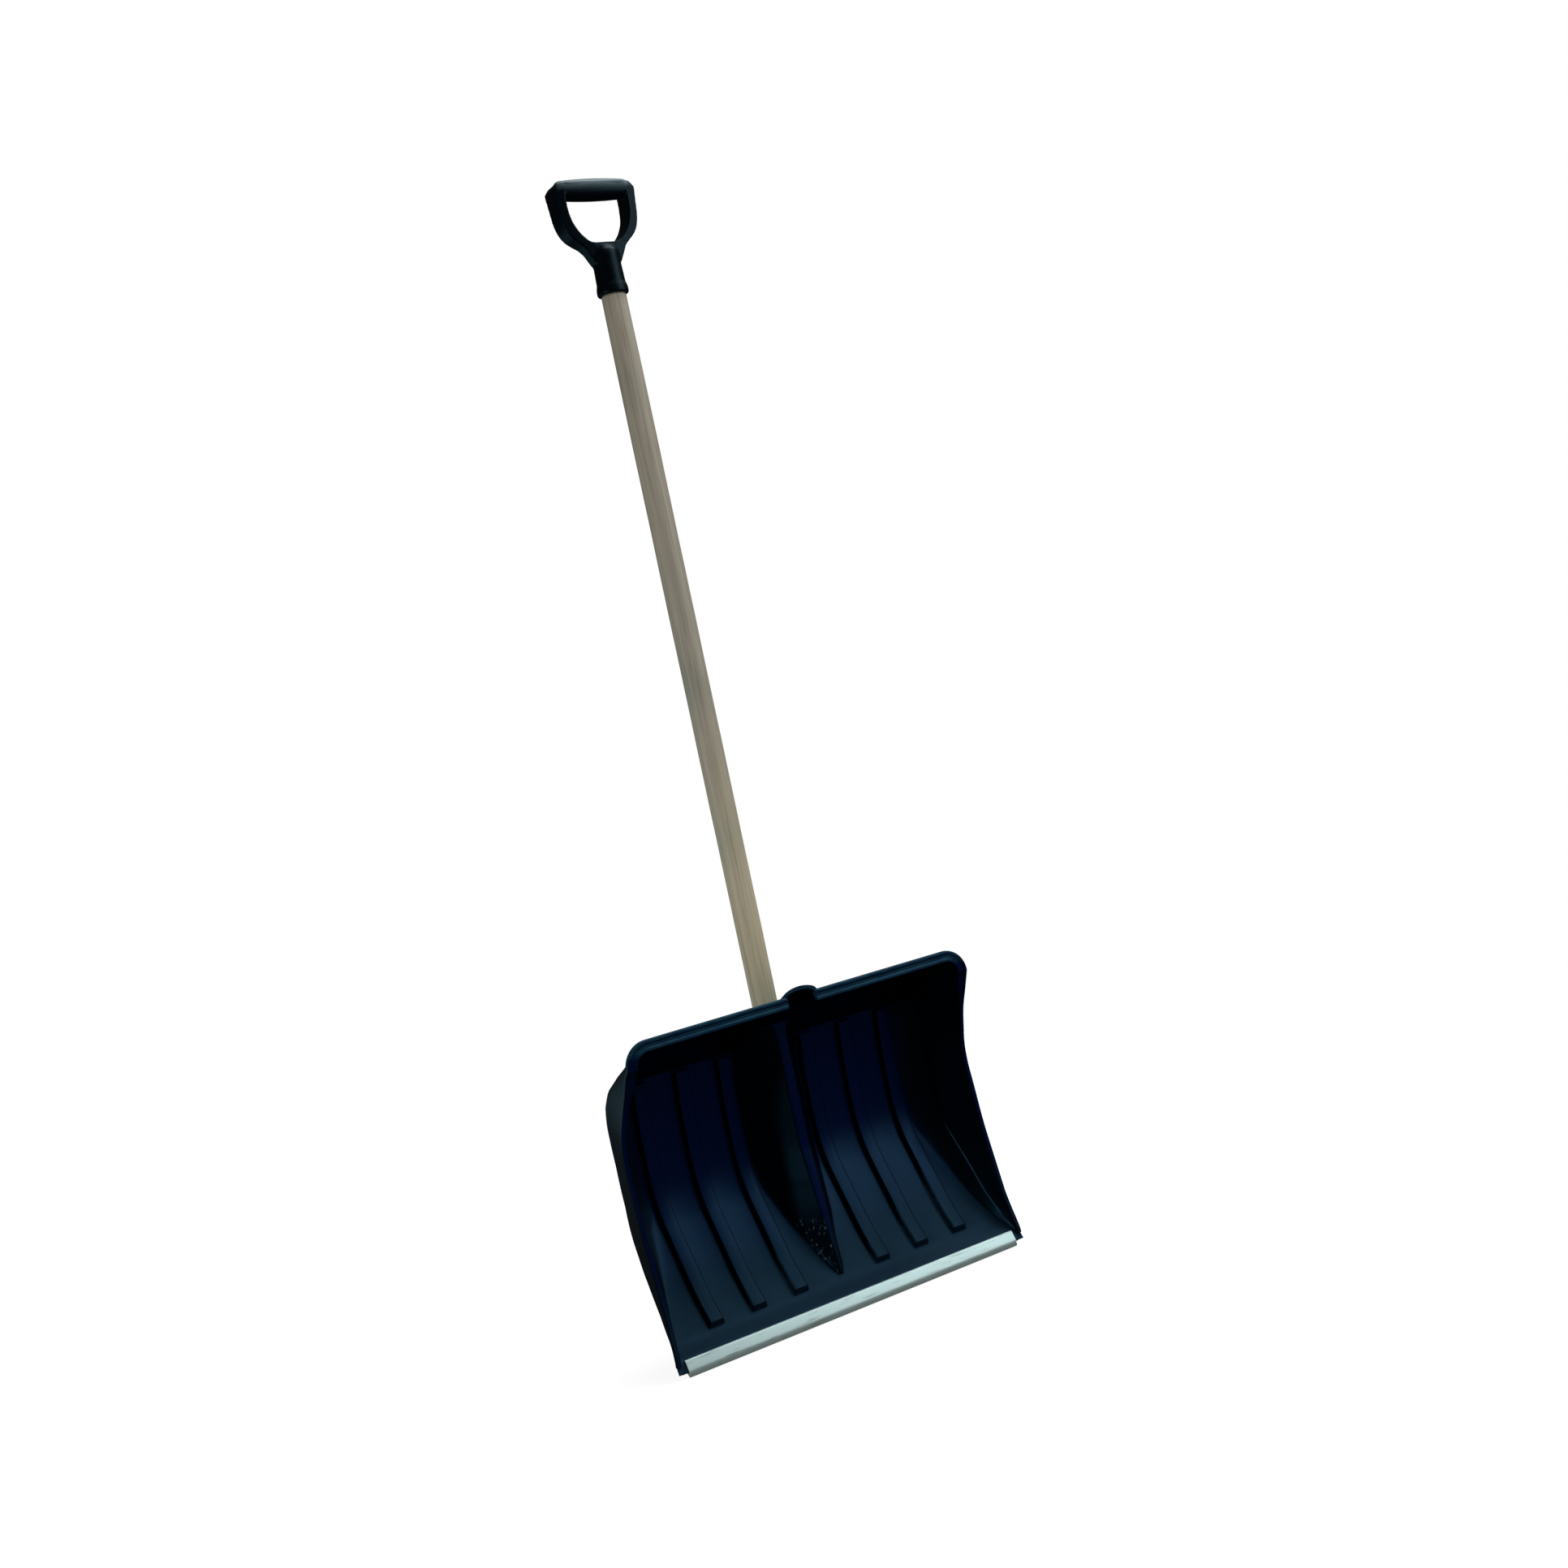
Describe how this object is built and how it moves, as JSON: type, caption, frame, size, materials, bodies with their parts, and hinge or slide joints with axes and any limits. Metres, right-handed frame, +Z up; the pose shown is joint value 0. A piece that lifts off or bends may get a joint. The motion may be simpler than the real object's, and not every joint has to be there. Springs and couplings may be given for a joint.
{
  "type": "snow shovel",
  "caption": "Wide scoop snow shovel: ribbed moulded plastic blade with a metal wear strip, straight wooden handle and a moulded D-grip.",
  "frame": {"origin": "underside of the hand bar at its middle, on the handle's axis, where the shovel hangs on a hook", "axes": "+Z up along the handle, X across the blade and along the hand bar, the scoop opens towards -Y"},
  "size_m": [0.503, 0.1323, 1.3971],
  "materials": {
    "blade_plastic": "dark navy-black injection-moulded polypropylene, satin, slightly scuffed",
    "grip_plastic": "black injection-moulded plastic, fine satin texture",
    "handle_wood": "unvarnished ash dowel, weathered grey-brown, long straight grain",
    "wear_strip_aluminium": "extruded aluminium, drawn lengthways, lightly worn nose",
    "zinc_screws": "zinc-plated pan-head screws"
  },
  "bodies": {
    "root": {"shovel_blade": "blade_plastic", "edge_wear_strip": "wear_strip_aluminium", "wooden_handle": "handle_wood", "d_grip": "grip_plastic", "edge_screw_1": "zinc_screws", "edge_screw_2": "zinc_screws", "edge_screw_3": "zinc_screws", "edge_screw_4": "zinc_screws", "edge_screw_5": "zinc_screws", "socket_screw_upper": "zinc_screws", "socket_screw_lower": "zinc_screws", "grip_screw": "zinc_screws"}
  },
  "joints": []
}
